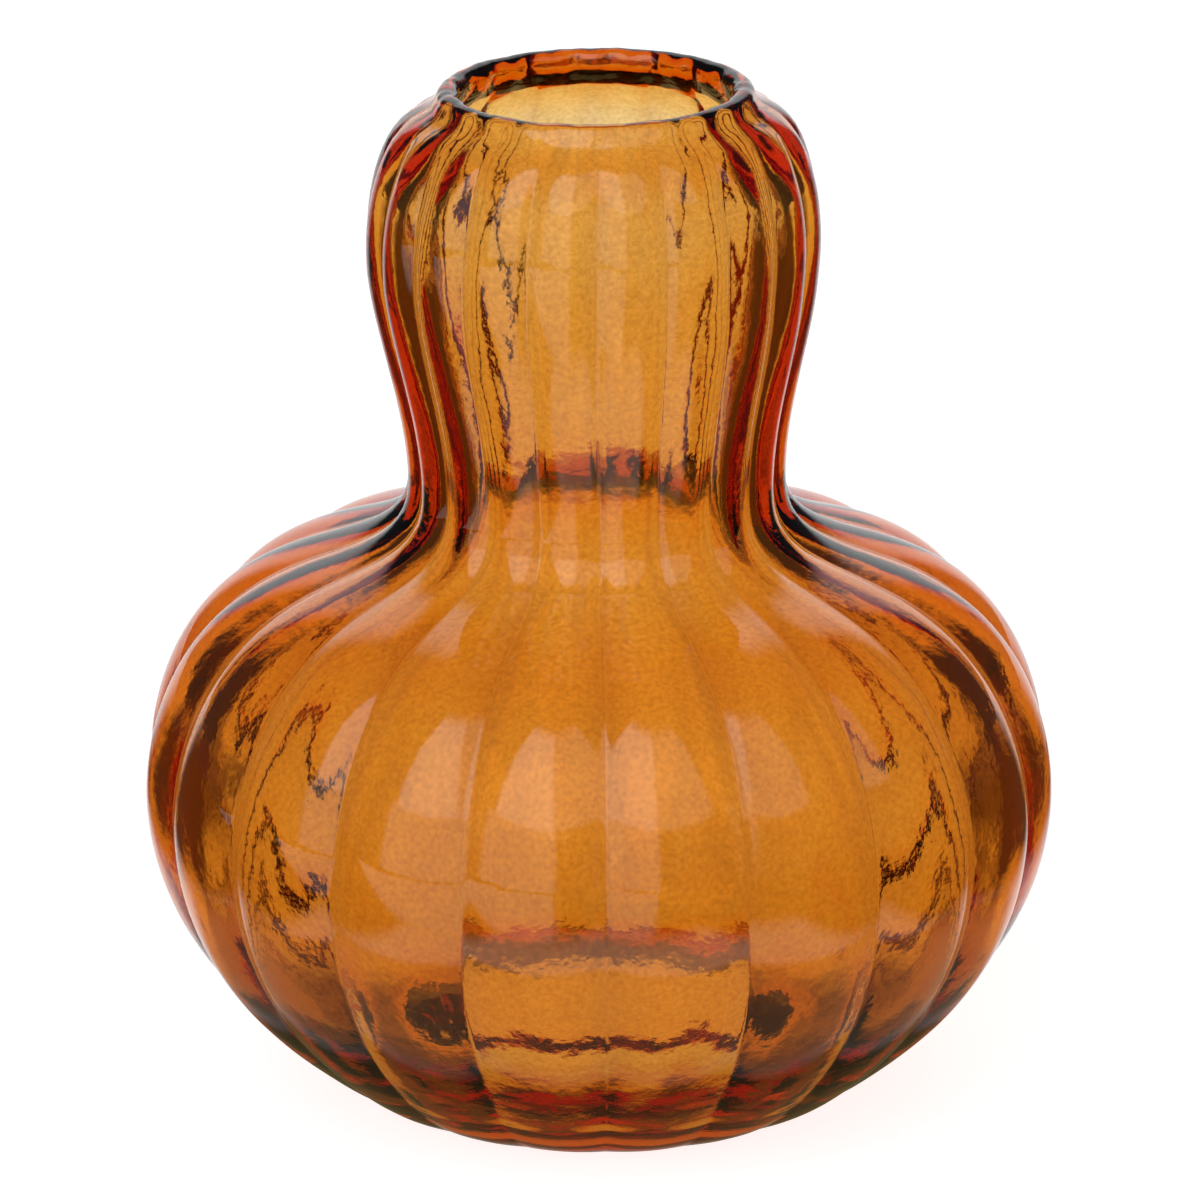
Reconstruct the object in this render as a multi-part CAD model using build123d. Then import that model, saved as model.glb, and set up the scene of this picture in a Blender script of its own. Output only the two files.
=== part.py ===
from build123d import *
import os
from math import cos, radians, sin

# A gourd vase of mould-blown glass: a wide lobed belly, a waist, a smaller lobed bulb and a
# fire-polished lip. Millimetres, +Z up. The origin is the centre of the standing ring, and a
# crease between two lobes faces the front, -Y.
# The vase is one piece of glass. Its wall is divided on level planes into the zones that a
# glassmaker names, with the pushed-up base inside the heel, and each zone meets the next face to face.

# Lobes that the mould leaves on the outside, and the depth of the creases between them
LOBES = 20
FOOT_CREASE = 0.4
HEEL_CREASE = 1.4
BELLY_CREASE = 2.6
SHOULDER_CREASE = 3.1
NECK_CREASE = 1.5

# Outer wall over the lobe crests: each station's radius, and its rise above the one below it
FOOT_RADIUS = 45.5
HEEL_RADIUS = 61.0
HEEL_RISE = 9.2
FLANK_RADIUS = 81.0
FLANK_RISE = 22.8
BELLY_RADIUS = 89.0
BELLY_RISE = 30.0
SHOULDER_RADIUS = 76.0
SHOULDER_RISE = 33.0
SLOPE_RADIUS = 59.0
SLOPE_RISE = 10.5
THROAT_RADIUS = 37.6
THROAT_RISE = 12.5
WAIST_RADIUS = 36.8
WAIST_RISE = 8.5
CROWN_RADIUS = 43.7
CROWN_RISE = 41.5
BROW_RADIUS = 41.0
BROW_RISE = 18.5
COLLAR_RADIUS = 35.0
COLLAR_RISE = 8.0
RIM_RADIUS = 30.3
RIM_RISE = 4.5

# Directions of the outer wall at its two ends, in degrees from level and outwards
FOOT_ANGLE = 15.0
RIM_ANGLE = 122.0

# Glass thickness, square to the outer wall at the lobe crests
HEEL_WALL = 6.0
BELLY_WALL = 5.0
SHOULDER_WALL = 5.5
NECK_WALL = 4.0
LIP_WALL = 4.2

# Base, pushed up in the middle: a level disc, a slope round it and a flat standing ring. The glass has
# one thickness over the disc and another at the trough inside, round the foot of the slope.
STANDING_RING = 4.0
PUSH_UP_RISE = 11.0
PUSH_UP_RADIUS = 30.0
PUSH_UP_ANGLE = 35.0
FLOOR_WALL = 4.5
TROUGH_WALL = 8.8

# Loft sections in each span between two stations
SPAN_SECTIONS = 3


def wall_stations():
    """Stations of the outer wall above the foot: radius, rise, crease depth and thickness."""
    return [
        (HEEL_RADIUS, HEEL_RISE, HEEL_CREASE, HEEL_WALL),
        (FLANK_RADIUS, FLANK_RISE, BELLY_CREASE, BELLY_WALL),
        (BELLY_RADIUS, BELLY_RISE, BELLY_CREASE, BELLY_WALL),
        (SHOULDER_RADIUS, SHOULDER_RISE, SHOULDER_CREASE, SHOULDER_WALL),
        (SLOPE_RADIUS, SLOPE_RISE, SHOULDER_CREASE, SHOULDER_WALL),
        (THROAT_RADIUS, THROAT_RISE, NECK_CREASE, NECK_WALL),
        (WAIST_RADIUS, WAIST_RISE, NECK_CREASE, NECK_WALL),
        (CROWN_RADIUS, CROWN_RISE, NECK_CREASE, NECK_WALL),
        (BROW_RADIUS, BROW_RISE, NECK_CREASE, NECK_WALL),
        (COLLAR_RADIUS, COLLAR_RISE, 0.0, LIP_WALL),
        (RIM_RADIUS, RIM_RISE, 0.0, LIP_WALL),
    ]


def heading(angle):
    """Unit vector in the XZ plane, turned up from +X by an angle in degrees."""
    return Vector(cos(radians(angle)), 0, sin(radians(angle)))


def fair_curve(points, start, finish):
    """Smooth curve through the points, with its directions at both ends given as unit vectors."""
    return Spline(*points, tangents=(start, finish), tangent_scalars=(1, 1))


def outer_points():
    """The foot's edge and the stations above it, as points in the XZ plane."""
    points = [Vector(FOOT_RADIUS, 0, 0)]
    for radius, rise, _, _ in wall_stations():
        points.append(Vector(radius, 0, points[-1].Z + rise))
    return points


def inner_outline(outer_curve, outer):
    """Inside from the axis to the mouth: a pushed-up floor, its slope, a round heel, and the wall."""
    points = []
    for point, (_, _, _, wall) in zip(outer[1:], wall_stations()):
        along = outer_curve.tangent_at(point)
        points.append(point + Vector(-along.Z, 0, along.X) * wall)
    leaving = outer_curve.tangent_at(outer[1])
    height = PUSH_UP_RISE + FLOOR_WALL
    floor_edge = Vector(PUSH_UP_RADIUS, 0, height)
    round_radius = (points[0].Z - TROUGH_WALL) / (1 - leaving.X)
    trough = Vector(points[0].X - round_radius * leaving.Z, 0, TROUGH_WALL)
    floor = Line(Vector(0, 0, height), floor_edge)
    slope = fair_curve([floor_edge, trough], heading(0), heading(0))
    heel = TangentArc(trough, points[0], tangent=heading(0))
    wall = fair_curve(points, leaving, heading(RIM_ANGLE))
    return [floor, slope, heel, wall]


def turned(edges):
    """Solid of revolution of a closed outline in the XZ plane."""
    return revolve(make_face(edges), axis=Axis.Z)


def lobed_ring(radius, height, depth):
    """Closed ring of equal arcs, each bulging to the crest radius between two creases."""
    pitch = 360 / LOBES

    def on_ring(distance, turns):
        angle = radians(turns * pitch)
        return Vector(distance * cos(angle), distance * sin(angle), height)

    arcs = []
    for lobe in range(LOBES):
        crease = on_ring(radius - depth, lobe)
        crest = on_ring(radius, lobe + 0.5)
        next_crease = on_ring(radius - depth, lobe + 1)
        arcs.append(ThreePointArc(crease, crest, next_crease))
    return Wire(arcs)


def lobed_bottle(outer_curve, outer):
    """Solid lobed form inside the outer wall, lofted from the foot to the lip's seam."""
    creases = [FOOT_CREASE] + [crease for _, _, crease, _ in wall_stations()]
    places = [outer_curve.param_at_point(point) for point in outer]
    rings = []
    for span in range(len(outer) - 2):
        for step in range(SPAN_SECTIONS):
            share = step / SPAN_SECTIONS
            point = outer_curve.position_at(places[span] + share * (places[span + 1] - places[span]))
            depth = creases[span] + share * (creases[span + 1] - creases[span])
            rings.append(lobed_ring(point.X, point.Z, depth))
    seam = outer[-2]
    rings.append(lobed_ring(seam.X, seam.Z, 0.0))
    return Solid.make_loft(rings)


def cavity(outline):
    """Inside of the vase, open through the mouth."""
    mouth = outline[-1].position_at(1)
    over = Vector(mouth.X, 0, mouth.Z + LIP_WALL)
    top = Vector(0, 0, over.Z)
    return turned(outline + [Line(mouth, over), Line(over, top), Line(top, outline[0].position_at(0))])


def punt():
    """Hollow under the pushed-up base: a level disc and a slope that falls to the standing ring."""
    centre = Vector(0, 0, 0)
    top = Vector(0, 0, PUSH_UP_RISE)
    disc_edge = Vector(PUSH_UP_RADIUS, 0, PUSH_UP_RISE)
    ring_edge = Vector(FOOT_RADIUS - STANDING_RING, 0, 0)
    slope = fair_curve([disc_edge, ring_edge], heading(0), heading(-PUSH_UP_ANGLE))
    return turned([Line(top, disc_edge), slope, Line(ring_edge, centre), Line(centre, top)])


def rolled_lip(outer_curve, wall, seam):
    """Smooth edge of the mouth: the wall above the lobes, closed by a half-round bead."""
    rim = outer_curve.position_at(1)
    mouth = wall.position_at(1)
    bead = (rim + mouth) / 2 + heading(RIM_ANGLE) * (LIP_WALL / 2)
    below = wall.position_at(0)
    foot = outer_curve.position_at(0)
    edges = [
        outer_curve,
        ThreePointArc(rim, bead, mouth),
        wall,
        Line(below, Vector(0, 0, below.Z)),
        Line(Vector(0, 0, below.Z), Vector(0, 0, 0)),
        Line(Vector(0, 0, 0), foot),
    ]
    return split(turned(edges), bisect_by=Plane((0, 0, seam)), keep=Keep.TOP)


def zones():
    """The glass wall's zones by name, from the base up."""
    outer = outer_points()
    outer_curve = fair_curve(outer, heading(FOOT_ANGLE), heading(RIM_ANGLE))
    outline = inner_outline(outer_curve, outer)
    inside = cavity(outline)
    flank, belly, shoulder, slope, throat, waist, crown, brow, collar, _ = outer[2:]
    tops = {
        "heel": flank.Z,
        "lower_belly": belly.Z,
        "upper_belly": shoulder.Z,
        "shoulder": (slope.Z + throat.Z) / 2,
        "throat": (throat.Z + waist.Z) / 2,
        "waist": (waist.Z + crown.Z) / 2,
        "upper_bulb": (crown.Z + brow.Z) / 2,
    }
    rest = lobed_bottle(outer_curve, outer) - punt()
    parts = {}
    for name, top in tops.items():
        level = Plane((0, 0, top))
        parts[name] = split(rest, bisect_by=level, keep=Keep.BOTTOM) - inside
        rest = split(rest, bisect_by=level, keep=Keep.TOP)
    core = Solid.make_cylinder(FOOT_RADIUS - STANDING_RING / 2, flank.Z)
    parts["base"] = parts["heel"] & core
    parts["heel"] = parts["heel"] - core
    parts["collar"] = rest - inside
    parts["lip"] = rolled_lip(outer_curve, outline[-1], collar.Z)
    return parts


os.makedirs("parts", exist_ok=True)
for name, part in zones().items():
    part.label = name
    export_step(part, f"parts/{name}.step")
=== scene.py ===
import math

import bpy
import numpy as np
from mathutils import Matrix, Vector


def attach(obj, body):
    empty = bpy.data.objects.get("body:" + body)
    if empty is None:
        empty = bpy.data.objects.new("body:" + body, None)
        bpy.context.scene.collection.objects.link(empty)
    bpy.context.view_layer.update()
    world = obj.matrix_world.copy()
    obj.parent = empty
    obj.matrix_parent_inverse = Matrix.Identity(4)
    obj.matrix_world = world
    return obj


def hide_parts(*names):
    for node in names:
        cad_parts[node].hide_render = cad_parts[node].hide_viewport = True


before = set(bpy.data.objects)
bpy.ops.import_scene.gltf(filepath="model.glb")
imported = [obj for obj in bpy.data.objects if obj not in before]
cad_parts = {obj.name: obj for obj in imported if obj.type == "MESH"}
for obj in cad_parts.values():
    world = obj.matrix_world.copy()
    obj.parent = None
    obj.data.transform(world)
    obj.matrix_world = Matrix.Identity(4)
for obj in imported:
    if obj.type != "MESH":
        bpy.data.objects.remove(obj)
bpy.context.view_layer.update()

MM = 0.001
WHITE = (1, 1, 1, 1)

# Lobes of the mould. Column 0 of every ring lies in a crease, and a crease faces the front, -Y.
LOBES = 20
CREASE_ROUNDING = 0.035  # of half a lobe's width
COLUMNS_PER_LOBE = 18
CROWDING = 0.8  # 0 spaces the columns evenly, 1 crowds them most towards the creases

# Outer wall over the lobe crests, from the foot up: radius, height, crease depth, glass thickness,
# and depth of the softened lobes inside, in mm. The inside starts at the heel.
STATIONS = {
    "foot": (45.5, 0.0, 0.4, 0.0, 0.0),
    "heel": (61.0, 9.2, 1.4, 6.0, 0.6),
    "flank": (81.0, 32.0, 2.6, 5.0, 1.2),
    "belly": (89.0, 62.0, 2.6, 5.0, 1.2),
    "shoulder": (76.0, 95.0, 3.1, 5.5, 1.4),
    "slope": (59.0, 105.5, 3.1, 5.8, 1.4),
    "throat": (37.6, 118.0, 1.5, 4.8, 0.7),
    "waist": (36.8, 126.5, 1.5, 4.8, 0.7),
    "crown": (43.7, 168.0, 1.9, 4.0, 0.85),
    "brow": (41.0, 186.5, 1.9, 4.0, 0.9),
    "collar": (35.0, 194.5, 0.5, 5.0, 0.9),
    "rim": (30.3, 198.3, 0.0, 4.0, 0.5),
}
FOOT_ANGLE = math.radians(15)
RIM_ANGLE = math.radians(97)

# Base, pushed up in the middle: a level disc, a slope round it and a flat standing ring, and the
# glass over the disc and at the trough inside, in mm
STANDING_RING = 4.0
PUSH_UP_RISE = 11.0
PUSH_UP_RADIUS = 30.0
PUSH_UP_ANGLE = math.radians(35)
FLOOR_WALL = 4.5
TROUGH_WALL = 8.8

# Waves that blowing leaves: their height inside, outside and at the lip in mm, how many are added
# up, the count round the vase that each stays under, and the shortest and longest along the wall in mm
INNER_WAVES = 0.22
OUTER_WAVES = 0.08
LIP_WAVES = 0.25
WAVE_COUNT = 90
ROUND_LIMIT = 60
WAVE_LENGTHS = 9, 60

# Where the waves grow from nothing to full: radii, heights over the table, heights at the lip, in mm
WAVY_RADII = 0, 40
WAVY_HEIGHTS = 0, 3
WAVY_LIP = 188, 196

# Small lean of the neck to the left, in mm by height, and the fall of the lip to the left, with the
# heights between which it grows
LEAN = ((0, 0.5), (62, 0.0), (120, -0.3), (165, -1.1), (199, -0.5))
LIP_FALL = 0.013
FALL_HEIGHTS = 172, 196

# Rows of the shell's grid
DISC_ROWS = 5
SLOPE_ROWS = 17
RING_ROWS = 3
OUTER_ROWS = 112
BEAD_ROWS = 12
INNER_ROWS = 84
TROUGH_ROWS = 15

# The photograph's camera: its frame in pixels, focal length in those pixels, its place and aim, the
# width of its sensor in mm, and how far it sees in metres
PHOTO_SIDE = 1200
FOCAL_PIXELS = 6680
CAMERA_DISTANCE = 1.3
CAMERA_ELEVATION = math.radians(19.3)
CAMERA_AZIMUTH = math.radians(-1.0)
AIM = Vector((0.0003, 0.0, 0.09677))
SENSOR = 36.0
SIGHT = 100

# Body of the glass: how strongly it bends light, its colour and strength of colour in depth, and how
# often light may pass or bounce in it
GLASS_BEND = 1.5
GLASS_COLOR = (0.954, 0.70, 0.06, 1)
GLASS_STRENGTH = 380
GLASS_BOUNCES = 28
GLOSS_BOUNCES = 12

# Fine unevenness of its surface: waves in a metre and height in mm, and the share of it outside
RIPPLE_SCALE, RIPPLE_HEIGHT = 250, 0.10
GRAIN_SCALE, GRAIN_HEIGHT = 2200, 0.008
OUTER_FINENESS = 0.3

# Tint of its surface: a painted shade in the deepest crease, and specks, with specks in a metre and
# the levels of their noise at which a speck is full and is gone
CREASE_PAINTED_SHADE = (0.72, 0.50, 0.30, 1)
SPECK_SCALE, SPECK_TINT = 1000, (0.84, 0.77, 0.68, 1)
SPECK_LEVELS = 0.3, 0.6

# Table as the eye sees it: half its side and its depth under the vase in metres, paint and glow
FLOOR_REACH = 4.0
FLOOR_DROP = 0.0002
FLOOR_COLOR = (0.5, 0.5, 0.5, 1)
FLOOR_ROUGHNESS = 0.9
FLOOR_GLOW = 0.85

# Table as glass shows it, a glow of painted light and shadow, in metres, with the width of each soft
# edge: the painted lit strip, the painted lit far sector, the front edge of both, the painted lit
# corner at the left front, the dimmer spot of painted shadow at the vase, the painted amber shadow
# rings on the near side, by inner and outer radius and colour, and the dim sides of painted shade
BEYOND = 9  # past every distance and angle here
STRIP_HALF, STRIP_BLUR = 0.15, 0.05
FAR_RADIUS, FAR_BLUR = 0.28, 0.08
FAR_TURN, TURN_BLUR = math.radians(42), 0.3
FRONT_EDGE, FRONT_BLUR = -0.25, 0.12
CORNER_LEFT, CORNER_FRONT, CORNER_BACK = -1.5, -2.5, -0.22
SPOT_RADIUS, SPOT_SHADE = 0.10, 0.85
AMBER_SHADOW_RINGS = (
    (0.045, 0.080, (0.18, 0.14, 0.06, 1)),
    (0.080, 0.160, (0.52, 0.38, 0.25, 1)),
)
RING_BLUR = 0.012
RING_BACK, RING_BACK_BLUR = 0.02, 0.03
SIDE_SHADE_COLOR = (0.12, 0.068, 0.03, 1)

# Dim room, and soft lights by lowest and highest elevation, bearing of the middle from the camera's
# side and half width in degrees, width of the soft edge, and strength
ROOM_COLOR = (0.06, 0.062, 0.066, 1)
SOFT_LIGHTS = (
    (24, 74, -28, 28, 0.05, 2.1),
    (24, 74, 28, 28, 0.05, 0.8),
    (-60, 24, -30, 32, 0.05, 1.0),
    (-95, 54, 180, 27, 0.1, 1.0),
)


def ramp(values, limits):
    """0 up to the first limit, 1 from the second on, and a straight rise between them."""
    low, high = limits
    return np.clip((values - low) / (high - low), 0, 1)


def fair_curve(points, start, finish, count):
    """Cubic curve with even curvature through the points, with both end directions given.

    It is spaced by chord length. The slope at each inner point is the one that makes the second
    derivative continuous there. Returns count points at even steps of the chord length, the chord
    length reached at each of them and at each given point, and the slope at each given point.
    """
    chord = np.r_[0, np.cumsum(np.hypot(*np.diff(points, axis=0).T))]
    gap = np.diff(chord)
    rate = np.diff(points, axis=0) / gap[:, None]
    matrix = np.eye(len(points))
    known = np.zeros_like(points)
    known[0] = math.cos(start), math.sin(start)
    known[-1] = math.cos(finish), math.sin(finish)
    inner = np.arange(1, len(points) - 1)
    matrix[inner, inner - 1] = gap[1:]
    matrix[inner, inner] = 2 * (gap[:-1] + gap[1:])
    matrix[inner, inner + 1] = gap[:-1]
    known[inner] = 3 * (gap[1:, None] * rate[:-1] + gap[:-1, None] * rate[1:])
    slope = np.linalg.solve(matrix, known)
    at = np.linspace(0, chord[-1], count)
    k = np.clip(np.searchsorted(chord, at, side="right") - 1, 0, len(gap) - 1)
    t = ((at - chord[k]) / gap[k])[:, None]
    h = gap[k][:, None]
    curve = (
        (1 + 2 * t) * (1 - t) ** 2 * points[k]
        + t * (1 - t) ** 2 * h * slope[k]
        + t * t * (3 - 2 * t) * points[k + 1]
        + t * t * (t - 1) * h * slope[k + 1]
    )
    return curve, at, chord, slope


def left_of(slopes):
    """Unit vectors square to the given directions, on their left: into the glass for the outer wall."""
    unit = slopes / np.linalg.norm(slopes, axis=1)[:, None]
    return np.stack([-unit[:, 1], unit[:, 0]], 1)


def disc_and_slope(height, foot, finish):
    """Pushed-up floor from the axis: a level disc, and a curve that falls from it to a foot."""
    radii = np.linspace(0, PUSH_UP_RADIUS, DISC_ROWS)[:-1]
    disc = np.stack([radii, np.full(len(radii), height)], 1)
    ends = np.array([(PUSH_UP_RADIUS, height), foot])
    return np.vstack([disc, fair_curve(ends, 0.0, finish, SLOPE_ROWS)[0]])


def shell_profile():
    """Half section of the glass: from the underside's centre, up the outside, over the lip, down inside.

    The inside is a pushed-up floor, an arc that leaves its foot level and meets the wall, and the
    wall itself. The lip's bead is half an ellipse between the two walls. Returns for each row radius
    and height in mm, crease depth, and a weight that is 0 outside and 1 inside.
    """
    table = np.array(list(STATIONS.values()))
    outer_points = table[:, :2]
    outer, at, chord, slope = fair_curve(outer_points, FOOT_ANGLE, RIM_ANGLE, OUTER_ROWS)
    crease = np.interp(at, chord, table[:, 2])

    inner_points = (outer_points + left_of(slope) * table[:, 3:4])[1:]
    turn = math.atan2(slope[1, 1], slope[1, 0])
    wall, at_inside, chord_inside, _ = fair_curve(inner_points, turn, RIM_ANGLE, INNER_ROWS)
    crease_inside = np.interp(at_inside, chord_inside, table[1:, 4])
    bend = (inner_points[0, 1] - TROUGH_WALL) / (1 - math.cos(turn))
    sweep = np.linspace(0, turn, TROUGH_ROWS)[:, None]
    around = np.hstack([np.sin(sweep), 1 - np.cos(sweep)]) * bend
    trough = inner_points[0] - around[-1]
    inner_floor = disc_and_slope(PUSH_UP_RISE + FLOOR_WALL, trough, 0.0)
    bottom = np.vstack([inner_floor, trough + around[1:-1]])
    inner = np.vstack([bottom, wall])[::-1]
    crease_inside = np.r_[np.zeros(len(bottom)), crease_inside][::-1]

    rim, mouth = outer[-1], inner[0]
    middle, reach = (rim + mouth) / 2, np.linalg.norm(rim - mouth) / 2
    sweep = np.linspace(0, math.pi, BEAD_ROWS)[1:-1, None]
    over = np.array([[math.cos(RIM_ANGLE), math.sin(RIM_ANGLE)]])
    bead = middle + np.cos(sweep) * (rim - middle) + np.sin(sweep) * reach * over

    foot = outer[0, 0]
    hollow = foot - STANDING_RING
    underside = disc_and_slope(PUSH_UP_RISE, (hollow, 0.0), -PUSH_UP_ANGLE)
    ring_radii = np.linspace(hollow, foot, RING_ROWS + 2)[1:-1]
    ring = np.stack([ring_radii, np.zeros(RING_ROWS)], 1)

    section = np.vstack([underside, ring, outer, bead, inner])
    plain = np.zeros(len(underside) + len(ring))
    bead_crease = np.linspace(0, crease_inside[0], len(bead))
    depth = np.r_[plain, crease, bead_crease, crease_inside]
    inside = np.r_[plain, np.zeros(len(outer)), np.linspace(0, 1, len(bead)), np.ones(len(inner))]
    return section, depth, inside


def lobe_share(turns):
    """Share of the crease depth at a number of lobe pitches.

    It is 1 in a rounded crease and 0 on a crest, and a parabola between them.
    """
    away = 1 - np.abs(2 * (turns % 1.0) - 1)
    rounded = np.sqrt(away**2 + CREASE_ROUNDING**2) / math.sqrt(1 + CREASE_ROUNDING**2)
    return (1 - rounded) ** 2


def soft_lobe_share(turns):
    """Softened lobes inside: the same pitch as a plain wave, 1 behind a crease and 0 behind a crest."""
    return 0.5 + 0.5 * np.cos(2 * math.pi * turns)


def crowded_turns():
    """Columns' places round the vase in lobe pitches, closer together towards each crease.

    Within a lobe they are a mix of even steps and of half a cosine wave.
    """
    step = np.arange(COLUMNS_PER_LOBE) / COLUMNS_PER_LOBE
    crowded = (1 - CROWDING) * step + CROWDING * (0.5 - 0.5 * np.cos(math.pi * step))
    return (np.arange(LOBES)[:, None] + crowded[None, :]).ravel()


def blown_waves(turns, along, seed):
    """Unevenness of blown glass, at most 1 high.

    It is a sum of slanting waves round and along the wall, and the finer a wave is, the lower.
    """
    draw = np.random.default_rng(seed)
    shortest, longest = WAVE_LENGTHS
    angle = turns / LOBES * 2 * math.pi
    total = np.zeros(np.broadcast(angle, along).shape)
    for _ in range(WAVE_COUNT):
        around = draw.integers(1, ROUND_LIMIT)
        length = draw.uniform(shortest, longest)
        size = 1 / (1 + around * shortest / length)
        phase = draw.uniform(0, 2 * math.pi)
        slant = draw.choice((-1, 1))
        total = total + size * np.sin(around * angle + slant * 2 * math.pi * along / length + phase)
    return total / np.abs(total).max()


def grid_mesh(name, rings):
    """Closed mesh of rings of points, each joined to the next. The first and last become a point."""
    rows, columns = rings.shape[:2]
    body = rings[1:-1].reshape(-1, 3)
    poles = np.stack([rings[0].mean(0), rings[-1].mean(0)])
    points = np.vstack([body, poles])
    low, high = len(body), len(body) + 1
    first = np.arange(columns)
    after = (first + 1) % columns
    below = np.arange(rows - 3)[:, None] * columns
    above = below + columns
    quads = np.stack([below + first, below + after, above + after, above + first], -1).reshape(-1, 4)
    last = (rows - 3) * columns
    bottom = np.stack([np.full(columns, low), after, first], 1)
    top = np.stack([np.full(columns, high), last + first, last + after], 1)
    mesh = bpy.data.meshes.new(name)
    mesh.vertices.add(len(points))
    mesh.vertices.foreach_set("co", points.ravel())
    corners = np.r_[quads.ravel(), bottom.ravel(), top.ravel()]
    mesh.loops.add(len(corners))
    mesh.loops.foreach_set("vertex_index", corners)
    starts = np.r_[np.arange(len(quads)) * 4, len(quads) * 4 + np.arange(2 * columns) * 3]
    mesh.polygons.add(len(starts))
    mesh.polygons.foreach_set("loop_start", starts)
    mesh.polygons.foreach_set("use_smooth", np.ones(len(starts), bool))
    mesh.update(calc_edges=True)
    mesh.validate()
    return mesh


def vase_rings():
    """Rings of the whole glass, and two weights for each point.

    The half section is turned round the axis. Lobes draw the wall in towards the axis, and the waves
    of blowing move it square to the section. Then the neck leans and the lip falls a little to the
    left. The first weight is 0 outside and 1 inside, and the second, the share of the painted crease
    shade, is 1 in the deepest outer crease.
    """
    section, depth, inside = shell_profile()
    radius, height = section[:, :1], section[:, 1:]
    depth, inside = depth[:, None], inside[:, None]
    crowded = crowded_turns()
    even = np.arange(len(crowded)) / COLUMNS_PER_LOBE
    turns = crowded[None, :] * (1 - inside) + even[None, :] * inside
    share = lobe_share(turns) * (1 - inside) + soft_lobe_share(turns) * inside

    along = np.r_[0, np.cumsum(np.hypot(*np.diff(section, axis=0).T))][:, None]
    wave_height = OUTER_WAVES + (INNER_WAVES - OUTER_WAVES) * inside
    wavy = ramp(radius, WAVY_RADII) ** 2 * ramp(height, WAVY_HEIGHTS)
    lift = blown_waves(turns, along, seed=7) * wavy * wave_height
    lift = lift + LIP_WAVES * ramp(height, WAVY_LIP) * blown_waves(turns, along, seed=11)
    square = left_of(np.gradient(section, axis=0))
    radius = radius - depth * share + lift * square[:, :1]
    height = height + lift * square[:, 1:]

    angle = turns / LOBES * 2 * math.pi
    x, y = radius * np.cos(angle), radius * np.sin(angle)
    heights, leans = np.array(LEAN).T
    x = x + np.interp(height, heights, leans)
    height = height + LIP_FALL * x * ramp(height, FALL_HEIGHTS) ** 2
    # Share of the painted shade in the creases: 1 in the deepest outer crease, 0 inside
    crease = share * (1 - inside) * depth / depth.max()
    return np.stack([x, y, height], -1) * MM, np.broadcast_to(inside, angle.shape), crease


def feed(tree, socket, value):
    """Set a socket to a number or colour, or link it to another node's output."""
    if isinstance(value, bpy.types.NodeSocket):
        tree.links.new(value, socket)
    else:
        socket.default_value = value


def node(tree, kind, **settings):
    """New node of a kind, with its inputs fed by name and its other properties set by attribute."""
    made = tree.nodes.new(kind)
    for key, value in settings.items():
        if key in made.inputs:
            feed(tree, made.inputs[key], value)
        else:
            setattr(made, key, value)
    return made


def reckon(tree, operation, *terms):
    """Output of one step of arithmetic on the terms, each a number or another node's output."""
    made = node(tree, "ShaderNodeMath", operation=operation)
    for socket, term in zip(made.inputs, terms):
        feed(tree, socket, term)
    return made.outputs[0]


def tinted(tree, share, first, second, blend_type="MIX"):
    """Colour that goes by a share from the first to the second, or to the two multiplied.

    The mixing node's colours are its sockets 6 and 7, and its result is output 2.
    """
    made = node(tree, "ShaderNodeMix", data_type="RGBA", blend_type=blend_type)
    for place, value in ((0, share), (6, first), (7, second)):
        feed(tree, made.inputs[place], value)
    return made.outputs[2]


def by_ray(tree, ray, others, chosen):
    """One shader for a kind of ray, and another for all others."""
    path = node(tree, "ShaderNodeLightPath")
    mix = node(tree, "ShaderNodeMixShader")
    for socket, source in zip(mix.inputs, (path.outputs[ray], others.outputs[0], chosen.outputs[0])):
        tree.links.new(source, socket)
    return mix.outputs[0]


def between(tree, value, low, high, blur):
    """1 where a value lies between two limits, 0 outside them, with a smooth edge of a given width."""
    edges = []
    for middle, before, after in ((low, 0, 1), (high, 1, 0)):
        edge = node(tree, "ShaderNodeMapRange", interpolation_type="SMOOTHSTEP", Value=value)
        edge.inputs["From Min"].default_value = middle - blur / 2
        edge.inputs["From Max"].default_value = middle + blur / 2
        edge.inputs["To Min"].default_value = before
        edge.inputs["To Max"].default_value = after
        edges.append(edge.outputs[0])
    return reckon(tree, "MULTIPLY", *edges)


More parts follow.
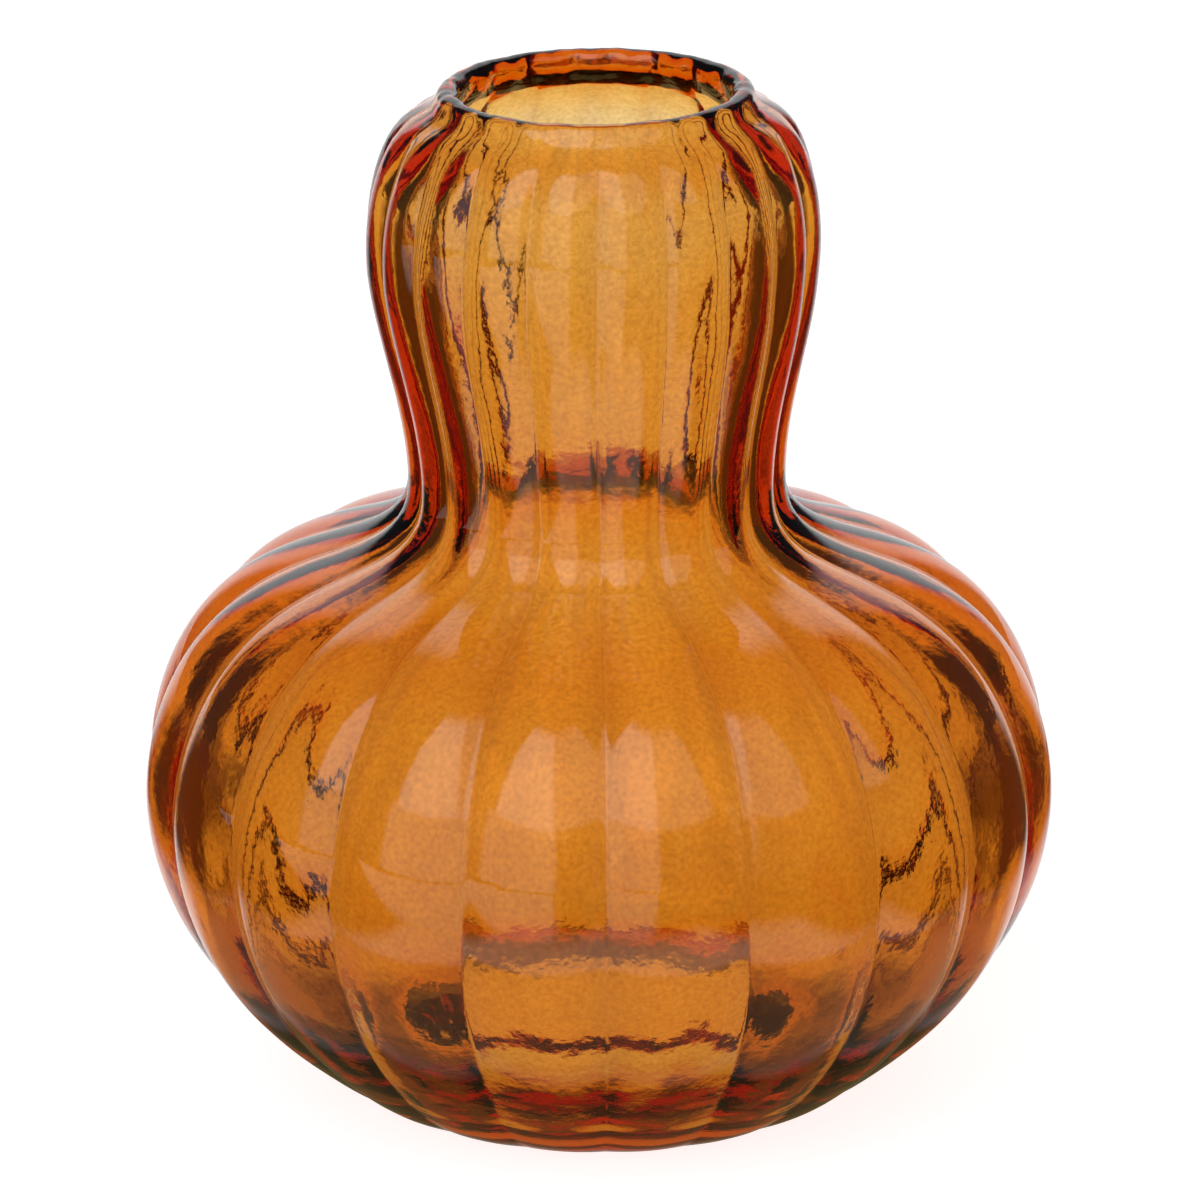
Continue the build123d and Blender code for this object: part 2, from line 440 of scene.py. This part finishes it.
def amber_glass():
    """Clear amber glass: a smooth surface that bends light, and a body that soaks up blue and green.

    Two sizes of fine unevenness roughen the light that passes: ripples of a few millimetres, and a
    grain under one. They are strong inside, where the glass met air, and faint outside. Specks of a
    millimetre deepen the tint, and a painted shade deepens it in the creases.
    """
    material = bpy.data.materials.new("amber_glass")
    material.use_nodes = True
    tree = material.node_tree
    tree.nodes.clear()
    place = node(tree, "ShaderNodeTexCoord").outputs["Object"]

    height = 0.0
    for scale, size in ((RIPPLE_SCALE, RIPPLE_HEIGHT), (GRAIN_SCALE, GRAIN_HEIGHT)):
        noise = node(tree, "ShaderNodeTexNoise", Vector=place, Scale=scale, Detail=2.0, Roughness=0.5)
        height = reckon(tree, "MULTIPLY_ADD", noise.outputs[0], size, height)
    inside = node(tree, "ShaderNodeAttribute", attribute_name="inside").outputs["Fac"]
    fineness = node(tree, "ShaderNodeMapRange", Value=inside)
    fineness.inputs["To Min"].default_value = OUTER_FINENESS
    bump = node(tree, "ShaderNodeBump", Distance=MM, Strength=fineness.outputs[0], Height=height)

    noise = node(
        tree, "ShaderNodeTexNoise", Vector=place, Scale=SPECK_SCALE, Detail=1.0, Roughness=0.5
    )
    clear_of_specks = node(tree, "ShaderNodeMapRange", Value=noise.outputs[0])
    for name, level in zip(("From Min", "From Max"), SPECK_LEVELS):
        clear_of_specks.inputs[name].default_value = level
    tint = tinted(tree, clear_of_specks.outputs[0], SPECK_TINT, WHITE)
    # Painted shade: the tint darkens towards the deepest outer creases
    crease = node(tree, "ShaderNodeAttribute", attribute_name="crease").outputs["Fac"]
    tint = tinted(tree, crease, tint, CREASE_PAINTED_SHADE, "MULTIPLY")

    glass = node(
        tree, "ShaderNodeBsdfPrincipled", Roughness=0.0, IOR=GLASS_BEND, Normal=bump.outputs[0]
    )
    glass.inputs["Transmission Weight"].default_value = 1.0
    tree.links.new(tint, glass.inputs["Base Color"])
    clear = node(tree, "ShaderNodeBsdfTransparent")
    surface = by_ray(tree, "Is Shadow Ray", glass, clear)
    body = node(tree, "ShaderNodeVolumeAbsorption", Color=GLASS_COLOR, Density=GLASS_STRENGTH)
    node(tree, "ShaderNodeOutputMaterial", Surface=surface, Volume=body.outputs[0])
    return material


def add_piece(name, mesh, material):
    """Object at the origin that rides on the vase's one body."""
    piece = bpy.data.objects.new(name, mesh)
    bpy.context.scene.collection.objects.link(piece)
    mesh.materials.append(material)
    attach(piece, "root")
    return piece


def floor():
    """Wide pale table under the vase. The eye sees it white, with the vase's soft shadow.

    Glass shows it as a glow of painted light and shade: warm, dim sides of painted shade and three
    painted lit parts: a strip that runs away from the camera and a far sector behind the vase, both
    from a front edge on, and a corner at the left front. A spot at the vase is a painted shadow, a
    little dimmer, and the rings on its near side are a painted amber shadow of light through the glass.
    """
    mesh = bpy.data.meshes.new("floor")
    corners = np.array([(-1, -1, 0), (1, -1, 0), (1, 1, 0), (-1, 1, 0)]) * FLOOR_REACH
    mesh.from_pydata(corners.tolist(), [], [(0, 1, 2, 3)])
    plane = bpy.data.objects.new("floor", mesh)
    bpy.context.scene.collection.objects.link(plane)
    plane.location.z = -FLOOR_DROP
    material = bpy.data.materials.new("floor_paint")
    material.use_nodes = True
    tree = material.node_tree
    seen = tree.nodes["Principled BSDF"]
    seen.inputs["Base Color"].default_value = FLOOR_COLOR
    seen.inputs["Roughness"].default_value = FLOOR_ROUGHNESS
    seen.inputs["Specular IOR Level"].default_value = 0.0
    seen.inputs["Emission Color"].default_value = WHITE
    seen.inputs["Emission Strength"].default_value = FLOOR_GLOW

    place = node(tree, "ShaderNodeTexCoord").outputs["Object"]
    split = node(tree, "ShaderNodeSeparateXYZ", Vector=place)
    x, y = split.outputs["X"], split.outputs["Y"]
    away = node(tree, "ShaderNodeVectorMath", operation="LENGTH", Vector=place).outputs["Value"]
    turn = reckon(tree, "ARCTAN2", x, y)

    # Painted light: the lit parts of the table as glass shows it
    strip = between(tree, x, -STRIP_HALF, STRIP_HALF, STRIP_BLUR)
    far = between(tree, away, FAR_RADIUS, BEYOND, FAR_BLUR)
    sector = reckon(tree, "MULTIPLY", far, between(tree, turn, -FAR_TURN, FAR_TURN, TURN_BLUR))
    behind = between(tree, y, FRONT_EDGE, BEYOND, FRONT_BLUR)
    lit = reckon(tree, "MULTIPLY", reckon(tree, "MAXIMUM", strip, sector), behind)
    left = between(tree, x, CORNER_LEFT, 0, STRIP_BLUR)
    front = between(tree, y, CORNER_FRONT, CORNER_BACK, STRIP_BLUR)
    lit = reckon(tree, "MAXIMUM", lit, reckon(tree, "MULTIPLY", left, front))
    # Painted shade on the dim sides, painted light on the lit parts
    color = tinted(tree, lit, SIDE_SHADE_COLOR, WHITE)

    # Painted amber shadow: rings on the near side of the vase, where light through the glass would fall
    near = between(tree, y, -BEYOND, RING_BACK, RING_BACK_BLUR)
    for low, high, amber in AMBER_SHADOW_RINGS:
        ring = reckon(tree, "MULTIPLY", between(tree, away, low, high, RING_BLUR), near)
        color = tinted(tree, ring, color, amber, "MULTIPLY")
    # Painted shadow: a dimmer spot at the vase
    spot = between(tree, away, -BEYOND, SPOT_RADIUS, SPOT_RADIUS)
    strength = reckon(tree, "MULTIPLY_ADD", spot, SPOT_SHADE - 1, 1.0)
    # Glow of painted light and shadow that every ray but the camera's sees
    through = node(tree, "ShaderNodeEmission", Color=color, Strength=strength)
    surface = by_ray(tree, "Is Camera Ray", through, seen)
    tree.links.new(surface, tree.nodes["Material Output"].inputs["Surface"])
    mesh.materials.append(material)


def studio():
    """Dim room with soft lights: each one is a patch of sky between two heights, round a middle bearing.

    Height is the sine of the elevation. The turn away from the middle is the angle between the two
    level directions, with bearings measured from the camera's side, positive to the right.
    """
    world = bpy.data.worlds.new("studio")
    bpy.context.scene.world = world
    world.use_nodes = True
    tree = world.node_tree
    tree.nodes.clear()
    place = node(tree, "ShaderNodeTexCoord").outputs["Generated"]
    height = node(tree, "ShaderNodeSeparateXYZ", Vector=place).outputs["Z"]
    flat = node(tree, "ShaderNodeVectorMath", operation="MULTIPLY", Vector=place)
    flat.inputs[1].default_value = (1, 1, 0)
    level = node(tree, "ShaderNodeVectorMath", operation="NORMALIZE", Vector=flat.outputs[0])

    total = 0.0
    for low, high, bearing, half, blur, strength in SOFT_LIGHTS:
        low, high, bearing, half = (math.radians(angle) for angle in (low, high, bearing, half))
        band = between(tree, height, math.sin(low), math.sin(high), blur)
        along = node(tree, "ShaderNodeVectorMath", operation="DOT_PRODUCT", Vector=level.outputs[0])
        along.inputs[1].default_value = (math.sin(bearing), -math.cos(bearing), 0)
        turn = reckon(tree, "ARCCOSINE", along.outputs["Value"])
        side = between(tree, turn, -BEYOND, half, blur * 2)
        total = reckon(tree, "MULTIPLY_ADD", reckon(tree, "MULTIPLY", band, side), strength, total)
    light = node(tree, "ShaderNodeBackground", Color=WHITE, Strength=total)
    room = node(tree, "ShaderNodeBackground", Color=ROOM_COLOR, Strength=1.0)
    lit_room = node(tree, "ShaderNodeAddShader")
    tree.links.new(light.outputs[0], lit_room.inputs[0])
    tree.links.new(room.outputs[0], lit_room.inputs[1])
    white = node(tree, "ShaderNodeBackground", Color=WHITE, Strength=1.0)
    surface = by_ray(tree, "Is Camera Ray", lit_room, white)
    node(tree, "ShaderNodeOutputWorld", Surface=surface)


def photo_camera():
    """Camera at the photograph's place."""
    data = bpy.data.cameras.new("photo_camera")
    camera = bpy.data.objects.new("photo_camera", data)
    bpy.context.scene.collection.objects.link(camera)
    level, rise = math.cos(CAMERA_ELEVATION), math.sin(CAMERA_ELEVATION)
    away = Vector((level * math.sin(CAMERA_AZIMUTH), -level * math.cos(CAMERA_AZIMUTH), rise))
    aimed = away.to_track_quat("Z", "Y").to_matrix().to_4x4()
    camera.matrix_world = Matrix.Translation(AIM + away * CAMERA_DISTANCE) @ aimed
    data.sensor_width = SENSOR
    data.lens = SENSOR * FOCAL_PIXELS / PHOTO_SIDE
    data.clip_end = SIGHT
    bpy.context.scene.camera = camera


rings, inside_weight, crease_shade_weight = vase_rings()
shell = grid_mesh("glass_vase", rings)
# The crease attribute carries the share of the painted crease shade
for name, weight, poles in (("inside", inside_weight, (0, 1)), ("crease", crease_shade_weight, (0, 0))):
    attribute = shell.attributes.new(name, "FLOAT", "POINT")
    attribute.data.foreach_set("value", np.r_[weight[1:-1].ravel(), poles])
vase = add_piece("glass_vase", shell, amber_glass())
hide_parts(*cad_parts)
floor()
studio()
photo_camera()
bpy.context.scene.view_settings.view_transform = "Standard"
bpy.context.scene.cycles.max_bounces = GLASS_BOUNCES
bpy.context.scene.cycles.transmission_bounces = GLASS_BOUNCES
bpy.context.scene.cycles.glossy_bounces = GLOSS_BOUNCES
